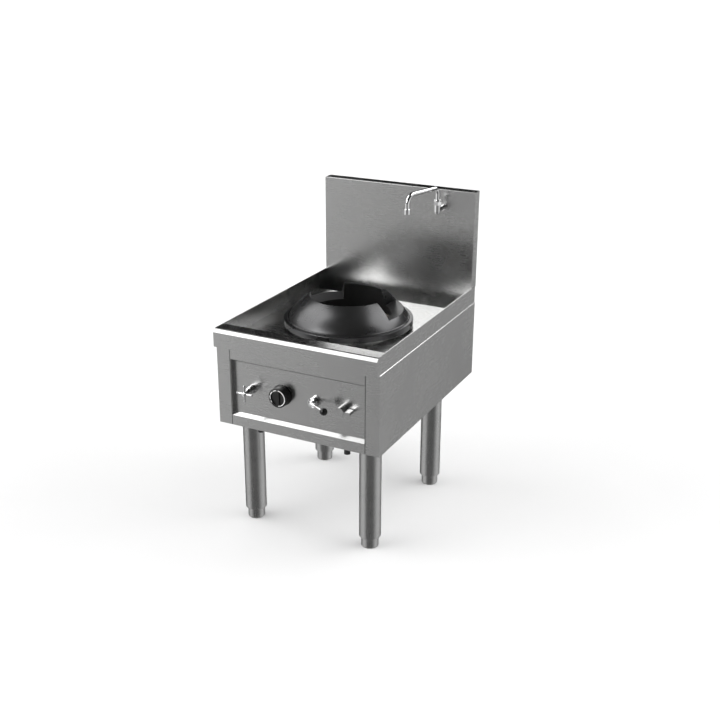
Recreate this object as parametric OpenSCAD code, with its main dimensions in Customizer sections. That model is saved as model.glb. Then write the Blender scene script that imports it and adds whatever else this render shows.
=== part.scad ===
// Single-burner wok range: stainless casing on four round legs, sunk deck with
// a rear gutter, loose cast iron wok ring, splashback with a swivel faucet.
// Millimetres, +Z up, front towards -Y, origin on the floor under the middle.

/* [Casing] */
// Width over the two side panels
body_w = 600; // [580:10:640]
// Depth of the body from its front face to its back face
body_d = 806; // [790:4:830]
// Height of the worktop rim above the floor
rim_h = 728; // [700:4:760]
// Height of the splashback above the worktop rim
splash_h = 355; // [300:5:400]
// Depth of the splashback box
splash_t = 43; // [40:1:50]
// Sheet thickness of the casing
sheet_t = 1.5; // [1.2:0.1:1.8]
// How far the worktop stands out over the front
overhang = 18.5; // [12:0.5:24]
// Depth that the deck floor is sunk below the rim
deck_sink = 57; // [50:1:60]
// Width of the flat strip behind the front edge
rim_strip = 42; // [36:1:48]

/* [Legs and feet] */
// Outer diameter of a leg tube
leg_d = 74; // [70:1:78]
// Diameter of a foot
foot_d = 59; // [54:1:62]
// Height of a foot below the end of its leg
foot_h = 37; // [30:1:45]
// Distance of the front leg centres behind the front face
leg_front = 91; // [85:1:100]
// Distance of the rear leg centres behind the front face
leg_rear = 600; // [590:1:620]

/* [Wok ring and burner] */
// Distance of the burner centre behind the front face
ring_y = 370; // [365:1:375]
// Outer radius of the wok ring's flange
ring_r = 224; // [222:0.5:226]
// Angle where a notch of the wok ring starts, from the side, towards the front
notch_front = 17.5; // [10:0.5:25]
// Angle where a notch of the wok ring ends, from the side, towards the back
notch_back = 56; // [50:0.5:60]
// Radius of the burner casting
burner_r = 80; // [70:1:84]

/* [Controls] */
// Diameter of the gas knob
knob_d = 69; // [64:1:74]
// Depth of the gas knob
knob_h = 27.5; // [23:0.5:28]
// Distance of the recessed panel behind the front face
recess = 16.5; // [14:0.5:18]
// Reach of one arm of the cross handle
arm_r = 31; // [26:1:34]
// Diameter of the lever's ball
ball_d = 25; // [20:1:26]

/* [Faucet] */
// Plan angle of the spout, 270 points straight to the front
spout_dir = 254; // [240:1:290]
// Reach of the spout from its swivel axis to its outlet
spout_reach = 166; // [140:1:180]
// Outer radius of the spout tube
spout_r = 7.5; // [7:0.1:8]

/* [Hidden] */
$fn = 96;
W = body_w;
D = body_d;
T = sheet_t;
e = 0.01;
// the lever's ball is the foremost point of the whole range
ball_y = -32;
front_reach = ball_d / 2 - ball_y;
yc = (D - front_reach) / 2;
// heights are written for a 728 mm rim and shift with it
function h(z) = z - 728 + rim_h;
// distances from the front are written for an 806 mm body; rear ones shift with it
function yb(y) = y - 806 + D;
zr = rim_h;
za = h(665.7);
zb = h(387);
zd = zr - deck_sink;
zs = zr + splash_h;
ys = D - splash_t;
yg = ys - 85;
zg = h(600);
side = 1.5;
stile = 49.6;
bolts = [[52, 0], [-52, 0], [0, 52], [0, -52]];
xc = W / 2;
xv1 = 124.5;
xv2 = 238.5;
xv3 = 358.5;
xv4 = 467.5;
zv1 = h(525.5);
zv2 = zv1;
zv3 = zv1;
zv4 = zv1;
xs4 = 463;
ys4 = 45;
ys1 = 60;
yp = recess;
legs = [[75, leg_front], [W - 75, leg_front], [75, leg_rear], [W - 75, leg_rear]];
fx = 477;
fy = ys - 48;
fz = zs + 16;
xdrain = 100;
ydrain = yb(720);

steel = [0.62, 0.62, 0.61];
dark = [0.16, 0.16, 0.17];
bright = [0.82, 0.82, 0.83];
brass = [0.75, 0.6, 0.3];
black = [0.06, 0.06, 0.06];

// ---------- helpers ----------
module at() translate([-W / 2, -yc, 0]) children();
// box from one corner to the other
module bx(a, b) translate(a) cube([b[0] - a[0], b[1] - a[1], b[2] - a[2]]);
// outline in (y, z) drawn out along x
module along_x(x0, x1) translate([x0, 0, 0]) rotate([90, 0, 90]) linear_extrude(height = x1 - x0) children();
// outline in (x, z) drawn out along y
module along_y(y0, y1) translate([0, y1, 0]) rotate([90, 0, 0]) linear_extrude(height = y1 - y0) children();
// cylinder along y at x, z
module cy(x, z, r, y0, y1) translate([x, y0, z]) rotate([-90, 0, 0]) cylinder(r = r, h = y1 - y0);
// cylinder along z at x, y
module cz(x, y, r, z0, z1) translate([x, y, z0]) cylinder(r = r, h = z1 - z0);
// cylinder along x at y, z
module cx(y, z, r, x0, x1) translate([x0, y, z]) rotate([0, 90, 0]) cylinder(r = r, h = x1 - x0);
module ball(p, r) translate(p) sphere(r = r);

// ---------- worktop ----------
module worktop() at() color(steel) difference() {
  union() {
    // front edge: lip, apron, bevel, flat strip and drop to the deck
    along_x(side + T, W - side - T) polygon([
      [12, za], [-overhang, za], [-overhang, zr - 11.2], [-overhang + 9.2, zr - 1.7], [-overhang + 13.5, zr],
      [rim_strip, zr], [rim_strip, zd - T], [rim_strip - T, zd - T], [rim_strip - T, zr - T],
      [-overhang + 13.8, zr - T], [-overhang + 10.04, zr - 2.98], [-overhang + T, zr - 11.8], [-overhang + T, za + T], [12, za + T]]);
    // side aprons with the front end closed to the bevel
    for (x = [side, W - side - T]) along_x(x, x + T) polygon([
      [D, za], [-overhang, za], [-overhang, zr - 11.2], [-overhang + 9.2, zr - 1.7], [-overhang + 13.5, zr], [D, zr]]);
    // inner hems that drop to the deck
    bx([side + T, rim_strip - T, zd - T], [side + 2 * T, ys, zr]);
    bx([W - side - 2 * T, rim_strip - T, zd - T], [W - side - T, ys, zr]);
    // sunk deck floor
    bx([side + 2 * T - e, rim_strip - T + e, zd - T], [W - side - 2 * T + e, yg, zd]);
    // strip under the splashback and the rear apron
    bx([side + T - e, ys + T, zr - T], [W - side - T + e, D, zr]);
    bx([side + T - e, D - T, za], [W - side - T + e, D, zr - T + e]);
  }
  cz(xc, ring_y, 200, zd - 5, zd + 5);
  cz(45, yb(785), 9, zr - 5, zr + 5);
}

module rear_gutter() at() color(steel) difference() {
  union() {
    bx([side + T, yg - T, zg - T], [W - side - T, yg, zd - T]);
    bx([side + T, yg - e, zg - T], [W - side - T, ys + e, zg]);
    bx([side + T, ys, zg - T], [W - side - T, ys + T, zr - T]);
    bx([side + 2 * T, ys, zr - T - e], [W - side - 2 * T, ys + T, zr]);
    for (x = [side + T, W - side - 2 * T]) bx([x, yg - e, zg - T], [x + T, ys + e, zd - T]);
  }
  cz(xdrain, ydrain, 30.5, zg - 5, zg + 5);
  cy(540, h(640), 6.5, yg - 5, yg + 5);
}

// raised curb that the wok ring stands on
module deck_collar() at() color(steel) translate([xc, ring_y, 0]) rotate_extrude() polygon([
  [196, zd - T], [198, zd - T], [198, h(678.7)], [203, h(678.7)], [203, zd], [205, zd],
  [205, h(680.7)], [196, h(680.7)]]);

// outline of the ring, radius and height for a 728 mm rim
module ring_outline() polygon([for (p = concat(
  [[158, 681], [167, 681], [170, 702], [190, 702], [197, 681], [ring_r, 681], [ring_r, 698.2],
   [ring_r - 0.6, 699.5], [ring_r - 1.8, 700], [212, 700], [211.4, 702.6], [210, 704.3], [208.6, 704.3], [207.6, 702.8], [207.2, 700.6], [206, 700.6]],
  [for (i = [0:14]) let (a = 27 + 33.2 * i / 14) [46.5 + 179 * cos(a), 622.7 + 179 * sin(a)]],
  [[133, 778.9], [130.9, 778], [129.3, 775.8], [129.2, 774]],
  [[147, 713.5]])) [p[0], h(p[1])]]);
// wedge of a notch with its conical floor
module notch(a0, a1) rotate([0, 0, a0]) rotate_extrude(angle = a1 - a0) polygon([
  [100, h(696)], [262, h(756.3)], [262, h(810)], [100, h(810)]]);
module wok_ring() at() color(dark) translate([xc, ring_y, 0]) difference() {
  rotate_extrude() ring_outline();
  notch(-notch_front, notch_back);
  notch(180 - notch_back, 180 + notch_front);
}

// ---------- casing ----------
module side_sheet() {
  along_y(T - e, D) polygon([[0, zb], [T, zb], [T, za], [T - 0.2, za], [0, za - 1.3]]);
  bx([0, 0, zb], [stile, T, za]);
  bx([stile - T, T - e, zb], [stile, 12, za]);
}
module left_side_panel() at() color(steel) side_sheet();
module right_side_panel() at() color(steel) translate([W, 0, 0]) mirror([1, 0, 0]) side_sheet();

module control_panel() at() color(steel) difference() {
  union() {
    along_x(51, W - 51) polygon([
      [0, zb], [0, h(423)], [yp, h(431)], [yp, h(614)], [0, h(624.6)], [0, za],
      [T, za], [T, h(625.6)], [yp + T, h(615)], [yp + T, h(430)], [T, h(422)], [T, zb]]);
    // cheeks that close the ends of the recess
    for (x = [51, W - 51 - T]) along_x(x, x + T) polygon([
      [T - e, h(422)], [0, h(423)], [0, h(624.6)], [T - e, h(625.6)], [yp + T, h(615)], [yp + T, h(430)]]);
  }
  cy(xv1, zv1, 13.5, yp - 5, yp + 5);
  cy(xv2, zv2, 14.5, yp - 5, yp + 5);
  cy(xv3, zv3, 12.5, yp - 5, yp + 5);
  cy(xv4, zv4, 12.5, yp - 5, yp + 5);
}

module rear_panel() at() color(steel) bx([T, D - T, zb], [W - T, D, za]);

module base_plate() at() color(steel) difference() {
  bx([T, T, zb], [W - T, D - T, zb + T]);
  bx([-1, -1, zb - 1], [50 + e, 12 + e, zb + 5]);
  bx([W - 50 - e, -1, zb - 1], [W + 1, 12 + e, zb + 5]);
  cz(xc, ring_y, 120, zb - 5, zb + 5);
  cz(xv1, ys1, 12, zb - 5, zb + 5);
  cz(xs4, ys4, 12, zb - 5, zb + 5);
  cz(232, yb(740), 12, zb - 5, zb + 5);
  cz(xdrain, ydrain, 31, zb - 5, zb + 5);
  for (p = legs, b = bolts) cz(p[0] + b[0], p[1] + b[1], 4.1, zb - 5, zb + 5);
}

module rail() along_y(rim_strip + 4, yg - 4) polygon([
  [side, h(632)], [side + 3, h(632)], [side + 3, zd - T - 3], [side + 33, zd - T - 3],
  [side + 33, zd - T], [side + T, zd - T], [side + T, za], [side, za]]);
module left_rail() at() color(steel) rail();
module right_rail() at() color(steel) translate([W, 0, 0]) mirror([1, 0, 0]) rail();

module splash_front() at() color(steel) difference() {
  union() {
    along_x(0, W) polygon([[ys, zr], [ys, zs - 1], [ys + 1, zs], [D - T, zs], [D - T, zs - T], [ys + T, zs - T], [ys + T, zr]]);
    for (x = [0, W - T]) bx([x, ys + 1, zr], [x + T, D - T, zs - T + e]);
  }
  cy(fx, zs - 65, 9, ys - 5, ys + 5);
}
module splash_back() at() color(steel) bx([0, D - T, zr], [W, D, zs]);

// ---------- legs ----------
module leg(i) at() color(steel) translate([legs[i][0], legs[i][1], foot_h + 3]) difference() {
  cylinder(d = leg_d, h = zb - 3 - foot_h - 3);
  translate([0, 0, -1]) cylinder(d = leg_d - 3, h = zb);
}
module front_left_leg() leg(0);
module front_right_leg() leg(1);
module rear_left_leg() leg(2);
module rear_right_leg() leg(3);

module leg_sockets() at() color(steel) for (p = legs) difference() {
  union() {
    cz(p[0], p[1], 62, zb - 3, zb);
    cz(p[0], p[1], leg_d / 2 - 1.8, zb - 43, zb - 3 + e);
  }
  cz(p[0], p[1], leg_d / 2 - 5, zb - 50, zb - 3);
  for (b = bolts) cz(p[0] + b[0], p[1] + b[1], 4.1, zb - 8, zb + 5);
  // room for the nuts of the inlet stubs
  cz(xv1, ys1, 17.5, zb - 8, zb + 5);
  cz(xs4, ys4, 17.5, zb - 8, zb + 5);
}

// hexagon head, shank and nut of each bolt
module leg_bolts() at() color(bright) for (p = legs, b = bolts)
  translate([p[0] + b[0], p[1] + b[1], 0]) {
    translate([0, 0, zb - 8]) cylinder(r = 7.5, h = 5, $fn = 6);
    translate([0, 0, zb - 3 - e]) cylinder(r = 4, h = 14);
    translate([0, 0, zb + T]) cylinder(r = 7.5, h = 6, $fn = 6);
  }

// plug in the lower end of each leg, with the hole for the foot's stem
module leg_plugs() at() color(steel) for (p = legs) translate([p[0], p[1], 0]) difference() {
  rotate_extrude() polygon([[0, foot_h], [leg_d / 2 - 3, foot_h], [leg_d / 2 - 0.8, foot_h + 1.2], [leg_d / 2, foot_h + 3],
    [leg_d / 2 - 1.7, foot_h + 3], [leg_d / 2 - 1.7, foot_h + 35], [0, foot_h + 35]]);
  translate([0, 0, foot_h - 5]) cylinder(r = 12.05, h = 60);
}
module foot(i) at() color(steel) translate([legs[i][0], legs[i][1], 0]) rotate_extrude() polygon([
  [0, 0], [foot_d / 2 - 4, 0], [foot_d / 2 - 1.2, 1], [foot_d / 2, 4], [foot_d / 2, foot_h - 1.5], [foot_d / 2 - 1, foot_h - 0.3],
  [12, foot_h - 0.3], [12, foot_h + 33], [0, foot_h + 33]]);
module front_left_foot() foot(0);
module front_right_foot() foot(1);
module rear_left_foot() foot(2);
module rear_right_foot() foot(3);

// ---------- burner ----------
module combustion_chamber() at() color(dark) translate([xc, ring_y, 0]) rotate_extrude() polygon([
  [150, h(478)], [188, h(478)], [188, zd - T - 2], [222, zd - T - 2], [222, zd - T], [186, zd - T], [186, h(480)], [150, h(480)]]);
module refractory_liner() at() color([0.3, 0.28, 0.26]) translate([xc, ring_y, 0]) rotate_extrude() polygon([
  [151, h(480)], [185.7, h(480)], [185.7, h(672)], [172, h(676)], [160, h(672)], [151, h(640)]]);
module burner_head() at() color(dark) translate([xc, ring_y, 0]) difference() {
  rotate_extrude() polygon([[0, h(560)], [24, h(560)], [30, h(572)], [burner_r - 6, h(578)], [burner_r, h(584)],
    [burner_r, h(598)], [burner_r - 5, h(603)], [34, h(603)], [26, h(596)], [0, h(594)]]);
  for (i = [0:11]) rotate([0, 0, i * 30]) translate([burner_r - 18, 0, h(590)]) cylinder(r = 4, h = 30);
  for (i = [0:7]) rotate([0, 0, i * 45 + 22.5]) translate([46, 0, h(590)]) cylinder(r = 4, h = 30);
}
module burner_bracket() at() color(dark) difference() {
  union() {
    bx([xc - 176, ring_y - 20, h(472)], [xc + 176, ring_y + 20, h(478)]);
    for (s = [-1, 1]) cz(xc + s * 50, ring_y, 6, h(477), h(573.8));
  }
  cz(xc, ring_y, 20.5, h(460), h(490));
}
module mixer_tube() at() color(dark) {
  cz(xc, ring_y, 19, h(440), h(560));
  ball([xc, ring_y, h(440)], 19);
  cy(xc, h(440), 19, 165, ring_y);
  translate([xc, 148, h(440)]) rotate([-90, 0, 0]) difference() {
    cylinder(r1 = 28, r2 = 19, h = 18);
    translate([0, 0, -1]) cylinder(r = 16, h = 16);
  }
}
module injector() at() color(brass) {
  cy(xc, h(440), 8, 128, 140);
  cy(xc, h(440), 5, 139, 156);
}

// ---------- gas ----------
// pipe through a list of points: straight runs with round corners
module run(r, p) for (i = [0:len(p) - 2]) {
  v = p[i + 1] - p[i];
  l = norm(v);
  translate(p[i]) rotate([0, acos(v[2] / l), atan2(v[1], v[0])]) cylinder(r = r, h = l);
  if (i > 0) ball(p[i], r);
}
// lock nut on an inlet stub, just under the base plate
module stub_nut(x, y) translate([x, y, h(376)]) cylinder(r = 14.5, h = 10.5, $fn = 6);
module gas_manifold() at() color(brass) {
  stub_nut(232, yb(740));
  run(10.5, [[232, yb(740), h(345)], [232, yb(740), h(430)], [232, 60, h(430)], [232, 60, zv2 - 20]]);
}
module gas_valve() at() color(brass) difference() {
  union() {
    bx([xv2 - 22, 30, zv2 - 20], [xv2 + 22, 84, zv2 + 20]);
    cy(xv2, zv2, 14, yp - 1.2, 30 + e);
  }
  cy(xv2, zv2, 4.05, 0, 64);
}
module gas_feed_pipe() at() color(brass)
  run(6, [[252, 70, zv2 - 20], [252, 70, h(440)], [xc, 70, h(440)], [xc, 128, h(440)]]);
module gas_spindle() at() color(bright) cy(xv2, zv2, 4, -6, 56);

// knob with a dished face and a grip bar across it
module gas_knob() at() color(black) translate([xv2, 12, zv2]) rotate([90, 0, 0]) difference() {
  rotate_extrude() polygon([[0, 0], [knob_d / 2 + 0.5, 0], [knob_d / 2 + 0.5, 4], [knob_d / 2 - 0.7, 6], [knob_d / 2 - 1, knob_h - 2.5], [knob_d / 2 - 1.6, knob_h - 0.8], [knob_d / 2 - 3, knob_h], [0, knob_h]]);
  difference() {
    translate([0, 0, knob_h - 4]) cylinder(r = knob_d / 2 - 9.5, h = 6);
    translate([-6, -knob_d / 2, knob_h - 6]) cube([12, knob_d, 8]);
  }
  translate([0, 0, -1]) cylinder(r = 4.05, h = 20);
  difference() {
    translate([0, 0, -1]) cylinder(r = knob_d / 2 - 4, h = knob_h - 9);
    translate([0, 0, -2]) cylinder(r = 9, h = knob_h);
  }
}
// raised dial marks: one long arc and a row of short ones
module mark(r, w, a0, a1) rotate([0, 0, a0]) rotate_extrude(angle = a1 - a0) translate([r - w / 2, 0]) square([w, 0.6]);
module knob_marks() at() color([0.95, 0.95, 0.95]) translate([xv2, 12 - knob_h, zv2]) rotate([90, 0, 0]) {
  mark(27.1, 2.2, -83, 84);
  mark(27.1, 2.4, 99, 124);
  mark(27.1, 2.4, 134, 160);
  mark(27.1, 1.8, 166, 194);
  mark(27.1, 1.8, 206, 220);
}
module knob_bezel() at() color(black) difference() {
  cy(xv2, zv2, knob_d / 2 + 1.5, yp - 1.2, yp);
  cy(xv2, zv2, 15, yp - 5, yp + 5);
}

// ---------- pilot cock ----------
module pilot_cock() at() color(bright) difference() {
  union() {
    translate([xv3, yp, zv3]) rotate([90, 0, 0]) rotate_extrude() polygon([
      [0, 0], [17.5, 0], [17.5, 13], [16.5, 15], [15, 15.6], [13.5, 15.2], [12.5, 13.6], [11.5, 13], [0, 13]]);
    cy(xv3, zv3, 12, yp - e, 66);
  }
  cy(xv3, zv3, 4.05, -10, 40);
}
// direction of the lever from its hub to its ball
lv = [60, ball_y + 3, -3.5];
ll = norm(lv);
module along_lever() translate([xv3, -3, zv3]) rotate([0, acos(lv[2] / ll), atan2(lv[1], lv[0])]) children();
module pilot_lever() at() color(bright) {
  translate([xv3, yp - 13.4, zv3]) rotate([90, 0, 0]) rotate_extrude() polygon([
    [0, 0], [10, 0], [10.6, 0.8], [10.6, 3.4], [9.6, 5.6], [7, 8], [3, 9.6], [0, 10]]);
  cy(xv3, zv3, 4, 3, 34);
  along_lever() cylinder(r1 = 7, r2 = 4.2, h = 22);
  along_lever() cylinder(r = 2.8, h = ll - 8);
}
module lever_ball() at() color(black) along_lever() difference() {
  translate([0, 0, ll]) sphere(r = ball_d / 2);
  cylinder(r = 2.8, h = ll - 8);
}
module pilot_pipe() at() color(brass)
  run(3, [[xv3, 66, zv3], [xv3, 100, zv3], [xv3, 100, h(455)], [xv3, 300, h(455)], [xv3, 300, h(588)]]);
module pilot_burner() at() color(brass) {
  cz(xv3, 300, 7, h(588), h(606));
  cz(xv3, 300, 4, h(605), h(618));
}
module thermocouple() at() color([0.7, 0.45, 0.3]) {
  run(1.5, [[256, 84, zv2 - 8], [256, 108, zv2 - 8], [256, 108, h(452)], [346, 108, h(452)], [346, 284, h(452)], [346, 284, h(600)]]);
  cz(346, 284, 3, h(600), h(622));
}

// ---------- water ----------
module water_valve() at() color(bright) difference() {
  union() {
    cy(xv1, zv1, 13, yp - e, 50);
    cz(xv1, ys1, 16, zv1 - 26, zv1 + 22);
    cy(xv1, zv1, 10, ys1, 82);
    translate([xv1, yp, zv1]) rotate([90, 0, 0]) rotate_extrude() polygon([
      [0, 0], [16, 0], [16, 3], [14.6, 5], [13.4, 18], [11.5, 20], [11.5, 30], [8.5, 33], [8, 40.4], [0, 40.4]]);
  }
  cy(xv1, zv1, 4.05, -40, 20);
}
module cross_handle() at() color(bright) {
  translate([xv1, -24.3, zv1]) rotate([90, 0, 0]) rotate_extrude() polygon([
    [0, 0], [6.5, 0], [7.6, 1.5], [8, 5], [8, 13], [6.8, 15.6], [4, 16.8], [0, 17.2]]);
  cy(xv1, zv1, 4, -25, 16);
  for (a = [0, 90, 180, 270]) translate([xv1, -33, zv1]) rotate([0, a, 0]) {
    cylinder(r = 3, h = arm_r - 4);
    translate([0, 0, arm_r - 9]) cylinder(r1 = 3, r2 = 4, h = 5);
    translate([0, 0, arm_r - 4]) sphere(r = 4);
  }
}
module water_inlet_left() at() color(bright) difference() {
  union() {
    cz(xv1, ys1, 10.5, h(351), zv1 - 26);
    stub_nut(xv1, ys1);
  }
  cz(xv1, ys1, 7.5, h(340), h(372));
}
module faucet_pipe() at() color([0.72, 0.5, 0.35])
  run(7, [[xv1, 82, zv1], [xv1, 100, zv1], [45, 100, zv1], [45, yb(785), zv1], [45, yb(785), zs - 65], [fx, yb(785), zs - 65], [fx, ys + 12, zs - 65]]);

module rinse_valve() at() color(bright) difference() {
  union() {
    bx([xv4 - 20, 34, zv4 - 18], [xv4 + 20, 70, zv4 + 18]);
    cy(xv4, zv4, 12, yp - 1.2, 34 + e);
    cy(xv4, zv4, 15.5, yp - 1.2, yp);
  }
  cy(xv4, zv4, 4.05, 0, 46);
}
// round tap knob with a flat wing to the right
module rinse_tap_knob() at() color(bright) {
  translate([xv4, yp - 1.6, zv4]) rotate([90, 0, 0]) rotate_extrude() polygon([
    [0, 0], [14, 0], [14.6, 0.8], [14.6, 31.8], [13.6, 33.2], [0, 33.2]]);
  cy(xv4, zv4, 4, yp - 2, 42);
  bx([xv4 + 11, -16, zv4 - 7], [xv4 + 35.5, 12.5, zv4 + 2]);
}
module water_inlet_right() at() color(bright) difference() {
  union() {
    cz(xs4, ys4, 10.5, h(351), zv4 - 18);
    stub_nut(xs4, ys4);
  }
  cz(xs4, ys4, 7.5, h(340), h(372));
}
module rinse_pipe() at() color([0.72, 0.5, 0.35])
  run(5, [[xv4, 70, zv4], [xv4, 100, zv4], [560, 100, zv4], [560, yg - 40, zv4], [560, yg - 40, h(640)], [540, yg - 40, h(640)], [540, yg + 12, h(640)]]);

// ---------- faucet ----------
module faucet_body() at() color(bright) difference() {
  union() {
    cz(fx, fy, 11, zs - 70, zs - 45);
    ball([fx, fy, zs - 70], 11);
    cy(fx, zs - 65, 8.4, fy, ys + 12);
    cy(fx, zs - 65, 12.5, ys - 3, ys);
  }
  cz(fx, fy, spout_r + 0.05, zs - 66, zs - 40);
}
module faucet_nut() at() color(bright) difference() {
  union() {
    translate([fx, fy, zs - 45]) cylinder(r = 14.6, h = 12, $fn = 6);
    cz(fx, fy, 12.4, zs - 33 - e, zs - 28);
  }
  cz(fx, fy, spout_r + 0.05, zs - 50, zs - 20);
}
// quarter bend in the x-z plane, from straight up to level
module bend(rb) rotate([90, 0, 0]) translate([0, 0, 0]) rotate_extrude(angle = 90) translate([rb, 0]) circle(r = spout_r);
module faucet_spout() at() color(bright) translate([fx, fy, 0]) rotate([0, 0, spout_dir]) {
  cylinder_z0 = zs - 65;
  translate([0, 0, cylinder_z0]) cylinder(r = spout_r, h = fz - 21 - cylinder_z0);
  translate([21, 0, fz - 21]) mirror([1, 0, 0]) bend(21);
  translate([21, 0, fz]) rotate([0, 90, 0]) cylinder(r = spout_r, h = spout_reach - 21 - 33);
  translate([spout_reach - 33, 0, fz - 33]) bend(33);
  translate([spout_reach, 0, fz - 47.5]) cylinder(r = spout_r, h = 14.5);
}
module spout_collar() at() color(bright) translate([fx, fy, 0]) rotate([0, 0, spout_dir]) translate([spout_reach, 0, fz - 66.5]) difference() {
  union() {
    cylinder(r = 10.5, h = 18);
    translate([0, 0, 17.9]) cylinder(r1 = 10.5, r2 = 9, h = 1.5);
  }
  translate([0, 0, 19]) cylinder(r = spout_r, h = 5);
  translate([0, 0, -1]) cylinder(r = 7.8, h = 9);
}

// ---------- drain ----------
module drain_socket() at() color(steel) translate([xdrain, ydrain, 0]) rotate_extrude() polygon([
  [27, h(540)], [30, h(540)], [30, zg], [41, zg], [41, zg + 1.5], [27, zg + 1.5]]);
// lift-out strainer: flat rim and a shallow cup
module gutter_strainer() at() color(steel) translate([xdrain, ydrain, 0]) difference() {
  rotate_extrude() polygon([[0, zg - 14], [25, zg - 14], [26.5, zg + 1.8], [38, zg + 1.8], [38, zg + 3.3], [25, zg + 3.3], [23.5, zg - 12.5], [0, zg - 12.5]]);
  cylinder_r = 2.2;
  for (i = [0:5]) rotate([0, 0, i * 60]) translate([9, 0, zg - 20]) cylinder(r = cylinder_r, h = 12);
  for (i = [0:11]) rotate([0, 0, i * 30]) translate([18, 0, zg - 20]) cylinder(r = cylinder_r, h = 12);
}
module drain_pipe() at() color(steel) difference() {
  union() {
    cz(xdrain, ydrain, 30, h(345), h(540));
    cz(xdrain, ydrain, 36, zb - 2, zb);
  }
  cz(xdrain, ydrain, 27, h(340), h(545));
}

worktop();
rear_gutter();
deck_collar();
wok_ring();
left_side_panel();
right_side_panel();
control_panel();
rear_panel();
base_plate();
left_rail();
right_rail();
splash_front();
splash_back();
front_left_leg();
front_right_leg();
rear_left_leg();
rear_right_leg();
leg_sockets();
leg_bolts();
leg_plugs();
front_left_foot();
front_right_foot();
rear_left_foot();
rear_right_foot();
combustion_chamber();
refractory_liner();
burner_head();
burner_bracket();
mixer_tube();
injector();
gas_manifold();
gas_valve();
gas_feed_pipe();
gas_spindle();
gas_knob();
knob_marks();
knob_bezel();
pilot_cock();
pilot_lever();
lever_ball();
pilot_pipe();
pilot_burner();
thermocouple();
water_valve();
cross_handle();
water_inlet_left();
faucet_pipe();
rinse_valve();
rinse_tap_knob();
water_inlet_right();
rinse_pipe();
faucet_body();
faucet_nut();
faucet_spout();
spout_collar();
drain_socket();
gutter_strainer();
drain_pipe();
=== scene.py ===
import bpy, bmesh, math
from mathutils import Vector, Matrix


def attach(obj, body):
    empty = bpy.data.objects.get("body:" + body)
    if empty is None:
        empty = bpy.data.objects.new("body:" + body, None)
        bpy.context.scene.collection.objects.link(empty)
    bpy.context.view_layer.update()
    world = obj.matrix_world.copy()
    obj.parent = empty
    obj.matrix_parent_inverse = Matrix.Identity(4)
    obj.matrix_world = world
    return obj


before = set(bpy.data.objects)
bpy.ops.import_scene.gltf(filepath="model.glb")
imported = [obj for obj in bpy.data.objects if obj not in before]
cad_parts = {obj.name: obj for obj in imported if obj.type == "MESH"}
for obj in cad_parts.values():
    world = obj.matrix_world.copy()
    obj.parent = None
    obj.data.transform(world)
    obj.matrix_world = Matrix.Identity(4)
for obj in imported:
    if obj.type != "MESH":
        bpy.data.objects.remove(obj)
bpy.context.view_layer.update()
scene = bpy.context.scene

# ---------------------------------------------------------------- helpers


def P(x, y, z):
    """A point given in mm from the left side, the front face and the floor."""
    return Vector(((x - 300) / 1000, (y - 380.75) / 1000, z / 1000))


def node(name):
    return bpy.data.objects[name]


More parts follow.
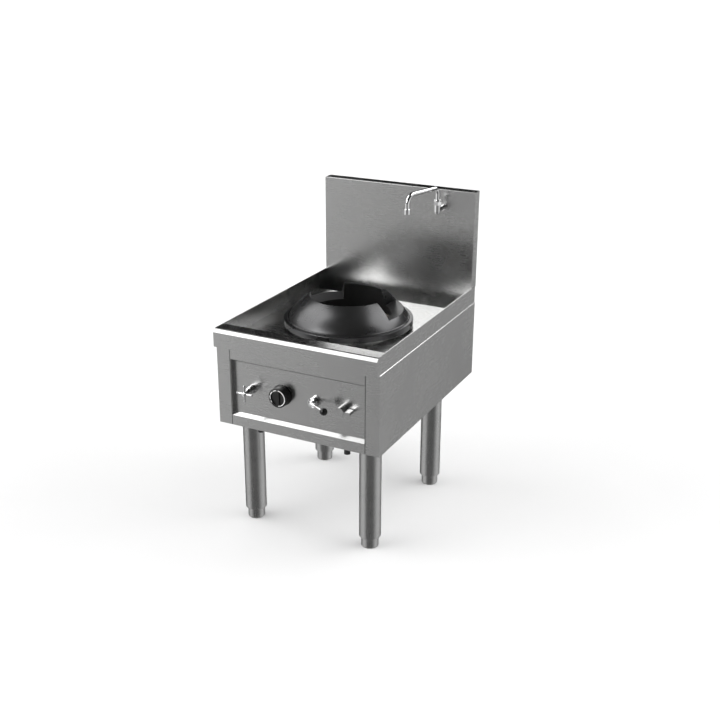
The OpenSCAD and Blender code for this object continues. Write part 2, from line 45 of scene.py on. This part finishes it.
class Graph:
    """A small helper that builds a node material."""

    def __init__(self, name):
        self.m = bpy.data.materials.new(name)
        self.m.use_nodes = True
        self.t = self.m.node_tree
        self.t.nodes.clear()
        self.out = self.t.nodes.new("ShaderNodeOutputMaterial")
        self.bsdf = self.t.nodes.new("ShaderNodeBsdfPrincipled")
        self.t.links.new(self.bsdf.outputs[0], self.out.inputs["Surface"])

    def new(self, kind, **k):
        n = self.t.nodes.new(kind)
        for a, b in k.items():
            setattr(n, a, b)
        return n

    def link(self, a, b):
        self.t.links.new(a, b)

    def set(self, **k):
        for a, b in k.items():
            self.bsdf.inputs[a.replace("_", " ")].default_value = b

    def coords(self, scale):
        tc = self.new("ShaderNodeTexCoord")
        mp = self.new("ShaderNodeMapping")
        mp.inputs["Scale"].default_value = scale
        self.link(tc.outputs["Object"], mp.inputs["Vector"])
        return mp.outputs[0]

    def noise(self, scale, detail=4, rough=0.55, stretch=(1, 1, 1)):
        n = self.new("ShaderNodeTexNoise")
        n.inputs["Scale"].default_value = scale
        n.inputs["Detail"].default_value = detail
        n.inputs["Roughness"].default_value = rough
        self.link(self.coords(stretch), n.inputs["Vector"])
        return n.outputs["Fac"]

    def ramp(self, src, lo, hi, a=0.0, b=1.0):
        r = self.new("ShaderNodeMapRange")
        r.inputs["From Min"].default_value = a
        r.inputs["From Max"].default_value = b
        r.inputs["To Min"].default_value = lo
        r.inputs["To Max"].default_value = hi
        self.link(src, r.inputs["Value"])
        return r.outputs[0]

    def mix(self, fac, a, b):
        m = self.new("ShaderNodeMix", data_type="FLOAT")
        if isinstance(fac, (int, float)):
            m.inputs[0].default_value = fac
        else:
            self.link(fac, m.inputs[0])
        self.link(a, m.inputs[2])
        self.link(b, m.inputs[3])
        return m.outputs[0]

    def add(self, a, b, op="ADD"):
        m = self.new("ShaderNodeMath", operation=op)
        for i, s in enumerate((a, b)):
            if isinstance(s, (int, float)):
                m.inputs[i].default_value = s
            else:
                self.link(s, m.inputs[i])
        return m.outputs[0]

    def colour(self, fac, a, b):
        m = self.new("ShaderNodeMix", data_type="RGBA")
        self.link(fac, m.inputs[0])
        m.inputs[6].default_value = (*a, 1)
        m.inputs[7].default_value = (*b, 1)
        self.link(m.outputs[2], self.bsdf.inputs["Base Color"])

    def bump(self, height, strength, distance):
        b = self.new("ShaderNodeBump")
        b.inputs["Strength"].default_value = strength
        b.inputs["Distance"].default_value = distance
        self.link(height, b.inputs["Height"])
        self.link(b.outputs[0], self.bsdf.inputs["Normal"])

    def facing_up(self):
        """1 on level faces, 0 on upright ones."""
        g = self.new("ShaderNodeNewGeometry")
        s = self.new("ShaderNodeSeparateXYZ")
        self.link(g.outputs["True Normal"], s.inputs[0])
        return self.add(self.add(s.outputs["Z"], 0, "ABSOLUTE"), 0.7, "GREATER_THAN")

    def looking_up(self):
        """1 on faces that look up, 0 on the others."""
        g = self.new("ShaderNodeNewGeometry")
        s = self.new("ShaderNodeSeparateXYZ")
        self.link(g.outputs["True Normal"], s.inputs[0])
        return self.add(s.outputs["Z"], 0.5, "GREATER_THAN")


def brushed(name, lo, hi, rough, grain=(1.0, 1.0), lit_top_shaded_underside=None):
    """Brushed stainless sheet. The grain runs level on upright faces and along X on level ones.
    lit_top_shaded_underside: flat colour and roughness of a polished band on the faces that look up, the colour a
    painted highlight; dark colour of the faces that look down, a painted shade."""
    g = Graph(name)
    g.set(Metallic=1.0)
    up = g.noise(60, 3, 0.6, (0.35, 0.35, 46))
    flat = g.noise(60, 3, 0.6, (0.35, 46, 0.35))
    level = g.facing_up()
    line = g.mix(level, up, flat)
    cloud = g.noise(5.0, 3, 0.5)
    fleck = g.noise(900, 2, 0.6)
    tone = g.add(g.add(g.ramp(line, -0.5, 0.5), g.ramp(cloud, -0.35, 0.35)), g.ramp(fleck, -0.25, 0.25))
    g.colour(g.ramp(tone, 0, 1, -0.5, 0.5), lo, hi)
    worn = g.ramp(g.add(g.ramp(line, -0.5, 0.5), g.ramp(cloud, -0.7, 0.7)), rough - 0.05 * grain[0], rough + 0.05 * grain[0], -0.6, 0.6)
    if lit_top_shaded_underside:
        top = g.looking_up()
        old = g.bsdf.inputs["Base Color"].links[0].from_socket
        # painted highlight: faces that look up get a flat lighter colour in place of the grain tone
        m = g.new("ShaderNodeMix", data_type="RGBA")
        g.link(top, m.inputs[0])
        g.link(old, m.inputs[6])
        m.inputs[7].default_value = (*lit_top_shaded_underside[0], 1)
        # painted shade: level faces that look down get a dark flat colour
        underside_shade = g.new("ShaderNodeMix", data_type="RGBA")
        g.link(g.add(level, top, "SUBTRACT"), underside_shade.inputs[0])
        g.link(m.outputs[2], underside_shade.inputs[6])
        underside_shade.inputs[7].default_value = (*lit_top_shaded_underside[2], 1)
        g.link(underside_shade.outputs[2], g.bsdf.inputs["Base Color"])
        worn = g.add(worn, g.ramp(top, 0, lit_top_shaded_underside[1]))
    g.link(worn, g.bsdf.inputs["Roughness"])
    g.bump(line, 0.08 * grain[1], 0.0002)
    if lit_top_shaded_underside:
        # the polished band is rolled over, so it shades as a steeper slope
        geo = g.new("ShaderNodeNewGeometry")
        roll = g.new("ShaderNodeMix", data_type="VECTOR")
        g.link(top, roll.inputs[0])
        g.link(geo.outputs["Normal"], roll.inputs[4])
        roll.inputs[5].default_value = (0.0, -0.718, 0.696)
        bump = g.bsdf.inputs["Normal"].links[0].from_node
        g.link(roll.outputs[1], bump.inputs["Normal"])
    return g.m


MAT = {}
MAT["sheet"] = brushed("brushed_sheet", (0.545, 0.545, 0.542), (0.605, 0.605, 0.60), 0.27)
# front panel sheet, with a painted highlight on its faces that look up and painted shade on those that look down
MAT["front"] = brushed("brushed_front_painted_light", (0.545, 0.545, 0.542), (0.605, 0.605, 0.60), 0.27, lit_top_shaded_underside=((0.58, 0.58, 0.577), -0.06, (0.14, 0.14, 0.14)))


def tube_steel():
    g = Graph("satin_tube")
    g.set(Metallic=1.0)
    line = g.noise(60, 3, 0.6, (30, 30, 0.4))
    cloud = g.noise(7, 3, 0.5)
    g.colour(g.ramp(g.add(line, cloud), 0, 1, 0.7, 1.3), (0.52, 0.52, 0.517), (0.60, 0.60, 0.595))
    g.link(g.ramp(g.add(line, cloud), 0.24, 0.34, 0.7, 1.3), g.bsdf.inputs["Roughness"])
    g.bump(line, 0.06, 0.0002)
    return g.m


MAT["tube"] = tube_steel()


def iron(axis):
    """Satin iron; the faces that look at the ring's own axis are painted near-black, a painted shade for the hollow
    inside the ring.
    """
    g = Graph("satin_iron_inner_shade")
    cloud = g.noise(9, 4, 0.55)
    grain = g.noise(420, 3, 0.6)
    tc = g.new("ShaderNodeTexCoord")
    out = g.new("ShaderNodeVectorMath", operation="SUBTRACT")
    g.link(tc.outputs["Object"], out.inputs[0])
    out.inputs[1].default_value = axis
    flat = g.new("ShaderNodeVectorMath", operation="MULTIPLY")
    g.link(out.outputs[0], flat.inputs[0])
    flat.inputs[1].default_value = (1, 1, 0)
    unit = g.new("ShaderNodeVectorMath", operation="NORMALIZE")
    g.link(flat.outputs[0], unit.inputs[0])
    side = g.new("ShaderNodeVectorMath", operation="DOT_PRODUCT")
    g.link(unit.outputs[0], side.inputs[0])
    g.link(tc.outputs["Normal"], side.inputs[1])
    inner_shade = g.ramp(g.add(side.outputs["Value"], -1.0, "MULTIPLY"), 0, 1, 0.25, 0.6)
    m = g.new("ShaderNodeMix", data_type="RGBA")
    g.link(g.ramp(cloud, 0, 1, 0.3, 0.7), m.inputs[0])
    m.inputs[6].default_value = (0.078, 0.078, 0.079, 1)
    m.inputs[7].default_value = (0.104, 0.104, 0.106, 1)
    # painted shade: the faces inside the ring get a near-black colour
    k = g.new("ShaderNodeMix", data_type="RGBA")
    g.link(inner_shade, k.inputs[0])
    g.link(m.outputs[2], k.inputs[6])
    k.inputs[7].default_value = (0.012, 0.012, 0.012, 1)
    g.link(k.outputs[2], g.bsdf.inputs["Base Color"])
    g.link(g.ramp(inner_shade, 0.9, 0.3), g.bsdf.inputs["Metallic"])
    g.link(g.add(g.ramp(cloud, 0.25, 0.31, 0.3, 0.7), g.ramp(inner_shade, 0, 0.3)), g.bsdf.inputs["Roughness"])
    g.bump(g.add(g.ramp(grain, 0, 0.6), cloud), 0.06, 0.0006)
    return g.m


def middle(name):
    """The middle of a node's own mesh."""
    c = [Vector(v.co) for v in node(name).data.vertices]
    return tuple((min(v[i] for v in c) + max(v[i] for v in c)) / 2 for i in range(3))


MAT["iron"] = iron(middle("wok_ring"))


def scorched():
    g = Graph("scorched_iron")
    g.set(Metallic=0.6)
    cloud = g.noise(14, 5, 0.6)
    g.colour(g.ramp(cloud, 0, 1, 0.3, 0.7), (0.02, 0.019, 0.018), (0.05, 0.046, 0.042))
    g.link(g.ramp(cloud, 0.5, 0.75, 0.3, 0.7), g.bsdf.inputs["Roughness"])
    g.bump(g.noise(160, 4, 0.6), 0.3, 0.0008)
    return g.m


MAT["scorched"] = scorched()


def chrome():
    g = Graph("polished_chrome")
    g.set(Metallic=1.0)
    cloud = g.noise(22, 3, 0.5)
    g.colour(g.ramp(cloud, 0, 1, 0.3, 0.7), (0.90, 0.90, 0.905), (0.96, 0.96, 0.965))
    g.link(g.ramp(cloud, 0.05, 0.09, 0.3, 0.7), g.bsdf.inputs["Roughness"])
    g.bump(g.noise(60, 2, 0.5), 0.02, 0.0004)
    return g.m


MAT["chrome"] = chrome()


def satin():
    g = Graph("satin_fitting")
    g.set(Metallic=1.0)
    cloud = g.noise(40, 3, 0.5)
    ring = g.noise(90, 2, 0.5, (1, 14, 1))
    g.colour(g.ramp(g.add(cloud, ring), 0, 1, 0.7, 1.3), (0.54, 0.54, 0.537), (0.62, 0.62, 0.615))
    g.link(g.ramp(g.add(cloud, ring), 0.2, 0.3, 0.7, 1.3), g.bsdf.inputs["Roughness"])
    g.bump(ring, 0.06, 0.0002)
    return g.m


MAT["satin"] = satin()


def fitting():
    g = Graph("blackened_fitting")
    g.set(Metallic=0.9)
    cloud = g.noise(50, 4, 0.55)
    g.colour(g.ramp(cloud, 0, 1, 0.3, 0.7), (0.05, 0.05, 0.051), (0.11, 0.11, 0.112))
    g.link(g.ramp(cloud, 0.3, 0.45, 0.3, 0.7), g.bsdf.inputs["Roughness"])
    g.bump(g.noise(500, 3, 0.6), 0.12, 0.0003)
    return g.m


MAT["fitting"] = fitting()


def brass():
    g = Graph("machined_brass")
    g.set(Metallic=1.0)
    cloud = g.noise(30, 4, 0.55)
    g.colour(g.ramp(cloud, 0, 1, 0.3, 0.7), (0.42, 0.29, 0.11), (0.58, 0.43, 0.19))
    g.link(g.ramp(cloud, 0.26, 0.42, 0.3, 0.7), g.bsdf.inputs["Roughness"])
    g.bump(g.noise(300, 2, 0.5), 0.08, 0.0003)
    return g.m


MAT["brass"] = brass()


def copper():
    g = Graph("drawn_copper")
    g.set(Metallic=1.0)
    cloud = g.noise(24, 4, 0.55)
    g.colour(g.ramp(cloud, 0, 1, 0.3, 0.7), (0.40, 0.19, 0.10), (0.56, 0.30, 0.18))
    g.link(g.ramp(cloud, 0.25, 0.4, 0.3, 0.7), g.bsdf.inputs["Roughness"])
    g.bump(g.noise(200, 2, 0.5), 0.06, 0.0003)
    return g.m


MAT["copper"] = copper()


def plastic(name, lo, hi, rlo, rhi, strength=0.1):
    g = Graph(name)
    cloud = g.noise(60, 3, 0.5)
    g.colour(g.ramp(cloud, 0, 1, 0.3, 0.7), lo, hi)
    g.link(g.ramp(cloud, rlo, rhi, 0.3, 0.7), g.bsdf.inputs["Roughness"])
    g.bump(g.noise(1600, 2, 0.5), strength, 0.0001)
    return g.m


MAT["black"] = plastic("black_plastic", (0.004, 0.004, 0.004), (0.009, 0.009, 0.009), 0.28, 0.4)
MAT["gloss"] = plastic("gloss_black", (0.003, 0.003, 0.003), (0.006, 0.006, 0.006), 0.08, 0.14, 0.02)
MAT["white"] = plastic("white_print", (0.78, 0.78, 0.78), (0.86, 0.86, 0.86), 0.4, 0.5, 0.05)


def ceramic():
    g = Graph("refractory")
    cloud = g.noise(12, 5, 0.6)
    g.colour(g.ramp(cloud, 0, 1, 0.3, 0.7), (0.05, 0.046, 0.042), (0.16, 0.145, 0.13))
    g.link(g.ramp(cloud, 0.8, 0.95, 0.3, 0.7), g.bsdf.inputs["Roughness"])
    g.bump(g.noise(120, 5, 0.65), 0.5, 0.002)
    return g.m


MAT["ceramic"] = ceramic()
# painted shade: the dark strips in the front seams stand in for the shadow in the gaps
MAT["seal"] = plastic("black_seal", (0.006, 0.006, 0.006), (0.014, 0.014, 0.014), 0.5, 0.7)

USE = {
    "sheet": ["worktop", "rear_gutter", "deck_collar", "left_side_panel", "right_side_panel", "rear_panel", "base_plate", "left_rail", "right_rail",
              "splash_front", "splash_back", "drain_socket", "gutter_strainer", "drain_pipe", "leg_sockets"],
    "front": ["control_panel"],
    "tube": ["front_left_leg", "front_right_leg", "rear_left_leg", "rear_right_leg", "leg_plugs", "front_left_foot", "front_right_foot", "rear_left_foot", "rear_right_foot"],
    "iron": ["wok_ring"],
    "scorched": ["combustion_chamber", "burner_head", "burner_bracket", "mixer_tube"],
    "ceramic": ["refractory_liner"],
    "brass": ["injector", "gas_manifold", "gas_valve", "gas_feed_pipe", "pilot_pipe", "pilot_burner"],
    "copper": ["thermocouple", "faucet_pipe", "rinse_pipe"],
    "chrome": ["leg_bolts", "gas_spindle", "pilot_cock", "pilot_lever", "water_valve", "cross_handle", "faucet_body", "faucet_nut", "faucet_spout", "spout_collar"],
    "satin": ["rinse_valve", "rinse_tap_knob"],
    "fitting": ["water_inlet_left", "water_inlet_right"],
    "black": ["gas_knob", "knob_bezel"],
    "gloss": ["lever_ball"],
    "white": ["knob_marks"],
}
BEVEL = {"worktop": 0.0003, "left_side_panel": 0.0003, "right_side_panel": 0.0003, "control_panel": 0.0003, "splash_front": 0.0003, "splash_back": 0.0003, "rear_panel": 0.0003,
         "deck_collar": 0.0006, "rear_gutter": 0.0005, "wok_ring": 0.0006, "gas_knob": 0.0006, "knob_bezel": 0.0004, "rinse_tap_knob": 0.0004, "rinse_valve": 0.0004, "water_valve": 0.0005,
         "pilot_cock": 0.0004, "faucet_nut": 0.0004, "faucet_body": 0.0004, "spout_collar": 0.0004, "base_plate": 0.0005, "gutter_strainer": 0.0004, "drain_socket": 0.0004,
         "front_left_foot": 0.0005, "front_right_foot": 0.0005, "rear_left_foot": 0.0005, "rear_right_foot": 0.0005, "leg_plugs": 0.0004, "leg_sockets": 0.0005, "leg_bolts": 0.0005,
         "burner_head": 0.0008, "gas_valve": 0.0008, "drain_pipe": 0.0004}
for key, names in USE.items():
    for n in names:
        o = node(n)
        o.data.materials.clear()
        o.data.materials.append(MAT[key])
for n, w in BEVEL.items():
    m = node(n).modifiers.new("edges", "BEVEL")
    m.width = w
    m.segments = 2
    m.limit_method = "ANGLE"
    m.angle_limit = math.radians(30)
    m.harden_normals = True

# ---------------------------------------------------------------- seam shadow strips (painted shade)


def make_seal(name, x, z0, z1):
    """A dark T-section strip set into the upright gap between the front panel and a side stile, a painted shade
    standing in for the shadow in the gap.
    """
    me = bpy.data.meshes.new(name)
    bm = bmesh.new()
    w, steps = 1.15, 8
    section = [(w * math.cos(math.pi * i / steps), -0.06 - 0.26 * math.sin(math.pi * i / steps)) for i in range(steps + 1)]
    section += [(-w, -0.03), (-0.6, -0.03), (-0.6, 3.0), (0.6, 3.0), (0.6, -0.03), (w, -0.03)]
    rows = []
    n = 24
    for k in range(n + 1):
        z = z0 + (z1 - z0) * k / n
        rows.append([bm.verts.new(P(x + a + 0.03 * math.sin(k * 1.7), b, z)) for a, b in section])
    m = len(section)
    for k in range(n):
        for i in range(m):
            j = (i + 1) % m
            bm.faces.new((rows[k][i], rows[k][j], rows[k + 1][j], rows[k + 1][i]))
    bm.faces.new(rows[0])
    bm.faces.new(list(reversed(rows[-1])))
    bmesh.ops.recalc_face_normals(bm, faces=bm.faces)
    bm.to_mesh(me)
    bm.free()
    o = bpy.data.objects.new(name, me)
    scene.collection.objects.link(o)
    me.materials.append(MAT["seal"])
    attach(o, "casing")


make_seal("seam_seal_left", 50.3, 388.0, 664.5)
make_seal("seam_seal_right", 549.7, 388.0, 664.5)

# ---------------------------------------------------------------- floor


def make_floor():
    me = bpy.data.meshes.new("floor")
    bm = bmesh.new()
    s = 60
    bmesh.ops.create_grid(bm, x_segments=2, y_segments=2, size=s)
    bm.to_mesh(me)
    bm.free()
    o = bpy.data.objects.new("floor", me)
    scene.collection.objects.link(o)
    o.location = (0, 0, -0.0002)
    g = Graph("studio_floor")
    cloud = g.noise(1.3, 2, 0.5)
    g.colour(g.ramp(cloud, 0, 1, 0.3, 0.7), (0.80, 0.80, 0.80), (0.82, 0.82, 0.82))
    g.set(Roughness=0.9)
    g.bsdf.inputs["Specular IOR Level"].default_value = 0.0
    me.materials.append(g.m)
    o.visible_glossy = False


make_floor()

# ---------------------------------------------------------------- light
# A white dome lights the floor. What shiny faces mirror is a studio of large soft panels
# on the left and on the right, with dim walls between them.


class Sky:
    def __init__(self):
        self.w = bpy.data.worlds.new("studio")
        scene.world = self.w
        self.w.use_nodes = True
        self.t = self.w.node_tree
        self.t.nodes.clear()
        tc = self.t.nodes.new("ShaderNodeTexCoord")
        nrm = self.t.nodes.new("ShaderNodeVectorMath")
        nrm.operation = "NORMALIZE"
        self.t.links.new(tc.outputs["Generated"], nrm.inputs[0])
        self.dir = nrm.outputs[0]
        sep = self.t.nodes.new("ShaderNodeSeparateXYZ")
        self.t.links.new(self.dir, sep.inputs[0])
        self.x, self.y, self.z = sep.outputs

    def math(self, op, a, b=None):
        n = self.t.nodes.new("ShaderNodeMath")
        n.operation = op
        for i, v in enumerate((a, b)):
            if v is None:
                continue
            if isinstance(v, (int, float)):
                n.inputs[i].default_value = v
            else:
                self.t.links.new(v, n.inputs[i])
        return n.outputs[0]

    def fade(self, v, inner, outer):
        """1 where v is below inner, 0 above outer, smooth between."""
        n = self.t.nodes.new("ShaderNodeMapRange")
        n.interpolation_type = "SMOOTHSTEP"
        self.t.links.new(v, n.inputs["Value"])
        n.inputs["From Min"].default_value = inner
        n.inputs["From Max"].default_value = outer
        n.inputs["To Min"].default_value = 1.0
        n.inputs["To Max"].default_value = 0.0
        return n.outputs[0]

    def dot(self, v):
        n = self.t.nodes.new("ShaderNodeVectorMath")
        n.operation = "DOT_PRODUCT"
        self.t.links.new(self.dir, n.inputs[0])
        n.inputs[1].default_value = tuple(v)
        return n.outputs["Value"]

    def panel(self, towards, x0, x1, y0, y1, strength, soft=0.08):
        """A rectangular soft panel; its sides are given in the plane at distance 1."""
        c = Vector(towards).normalized()
        e1 = Vector((c.y, -c.x, 0)).normalized()
        e2 = e1.cross(c).normalized()
        e2 = e2 if e2.z > 0 else -e2
        d = self.math("MAXIMUM", self.dot(c), 0.05)
        front = self.fade(self.math("MULTIPLY", self.dot(c), -1.0), -0.12, -0.06)
        px = self.math("DIVIDE", self.dot(e1), d)
        py = self.math("DIVIDE", self.dot(e2), d)
        ax = self.math("ABSOLUTE", self.math("SUBTRACT", px, (x0 + x1) / 2))
        ay = self.math("ABSOLUTE", self.math("SUBTRACT", py, (y0 + y1) / 2))
        hx, hy = (x1 - x0) / 2, (y1 - y0) / 2
        m = self.math("MULTIPLY", self.fade(ax, hx - soft, hx + soft), self.fade(ay, hy - soft, hy + soft))
        return self.math("MULTIPLY", self.math("MULTIPLY", m, front), strength)

    def sector(self, az, inner, outer, strength):
        """A glow round one compass direction."""
        a = math.radians(az)
        flat = self.math("SQRT", self.math("ADD", self.math("MULTIPLY", self.x, self.x), self.math("MULTIPLY", self.y, self.y)))
        c = self.math("DIVIDE", self.dot((math.cos(a), math.sin(a), 0)), self.math("MAXIMUM", flat, 0.001))
        ang = self.math("ARCCOSINE", self.math("MINIMUM", self.math("MAXIMUM", c, -1.0), 1.0))
        return self.math("MULTIPLY", self.fade(ang, math.radians(inner), math.radians(outer)), strength)

    def total(self, parts):
        v = parts[0]
        for p in parts[1:]:
            v = self.math("ADD", v, p)
        return v


def make_sky():
    s = Sky()
    # below the horizon: a dim hall with a brighter zone on the left and on the right
    low = s.total([s.sector(-149, 14, 51.5, 0.475), s.sector(27, 5, 68, 0.49)])
    low = s.math("ADD", low, 0.135)
    near_horizon = s.fade(s.math("MULTIPLY", s.z, -1.0), 0.17, 0.37)
    low = s.math("MULTIPLY", low, s.math("ADD", s.math("MULTIPLY", near_horizon, 0.45), 1.0))
    below = s.fade(s.z, -0.06, 0.02)
    # above it: a large panel at the left front with a strip low beside it, and two at the back right
    high = s.total([
        s.panel((-0.6985, -0.419, 0.577), -0.20, 0.75, 0.02, 0.60, 3.2),
        s.panel((-0.6985, -0.419, 0.577), -0.62, 0.75, -0.36, 0.02, 2.4),
        s.panel((-0.485, -0.815, 0.309), -0.40, 0.26, -0.16, 0.26, 3.15),
        s.panel((0.55, 0.62, 0.72), -0.32, 0.70, -0.42, 0.42, 2.7),
        s.panel((0.424, 0.734, 0.53), -0.22, 0.22, -0.20, 0.20, 2.4),
    ])
    high = s.math("ADD", high, 0.02)
    up = s.math("SUBTRACT", 1.0, below)
    env = s.math("ADD", s.math("MULTIPLY", low, below), s.math("MULTIPLY", high, up))
    t = s.t
    shiny = t.nodes.new("ShaderNodeBackground")
    shiny.inputs[0].default_value = (1, 1, 1, 1)
    t.links.new(env, shiny.inputs[1])
    # the dome that lights the floor is stronger low on the left and on the right, so each foot throws two soft shadows
    sides = s.total([s.sector(-153, 12, 55, SIDE), s.sector(27, 12, 55, SIDE)])
    band = s.math("MULTIPLY", s.fade(s.z, 0.45, 0.62), s.fade(s.math("MULTIPLY", s.z, -1.0), -0.10, 0.0))
    soft = t.nodes.new("ShaderNodeBackground")
    soft.inputs[0].default_value = (1, 1, 1, 1)
    lp = t.nodes.new("ShaderNodeLightPath")
    dome = s.math("ADD", s.math("MULTIPLY", sides, band), DOME)
    # straight into the camera the backdrop is plain white
    t.links.new(s.math("MAXIMUM", dome, s.math("MULTIPLY", lp.outputs["Is Camera Ray"], 1.3)), soft.inputs[1])
    mix = t.nodes.new("ShaderNodeMixShader")
    out = t.nodes.new("ShaderNodeOutputWorld")
    t.links.new(lp.outputs["Is Glossy Ray"], mix.inputs[0])
    t.links.new(soft.outputs[0], mix.inputs[1])
    t.links.new(shiny.outputs[0], mix.inputs[2])
    t.links.new(mix.outputs[0], out.inputs[0])
    s.w.cycles.sampling_method = "NONE"


DOME = 0.87
SIDE = 5.0
make_sky()

scene.view_settings.view_transform = "Standard"
scene.view_settings.look = "None"
scene.view_settings.exposure = 0
scene.view_settings.gamma = 1

# ---------------------------------------------------------------- camera
cam = bpy.data.cameras.new("camera")
cam.lens = 53.68
cam.sensor_width = 36
cam.clip_end = 200
co = bpy.data.objects.new("camera", cam)
scene.collection.objects.link(co)
r = Vector((0.89298, 0.45006, 0.00276)).normalized()
f = Vector((-0.41764, 0.83093, -0.36760)).normalized()
r = (r - f * r.dot(f)).normalized()
u = r.cross(f)
co.matrix_world = Matrix(((r.x, u.x, -f.x, 1.61348), (r.y, u.y, -f.y, -3.13115), (r.z, u.z, -f.z, 1.92412), (0, 0, 0, 1)))
scene.camera = co
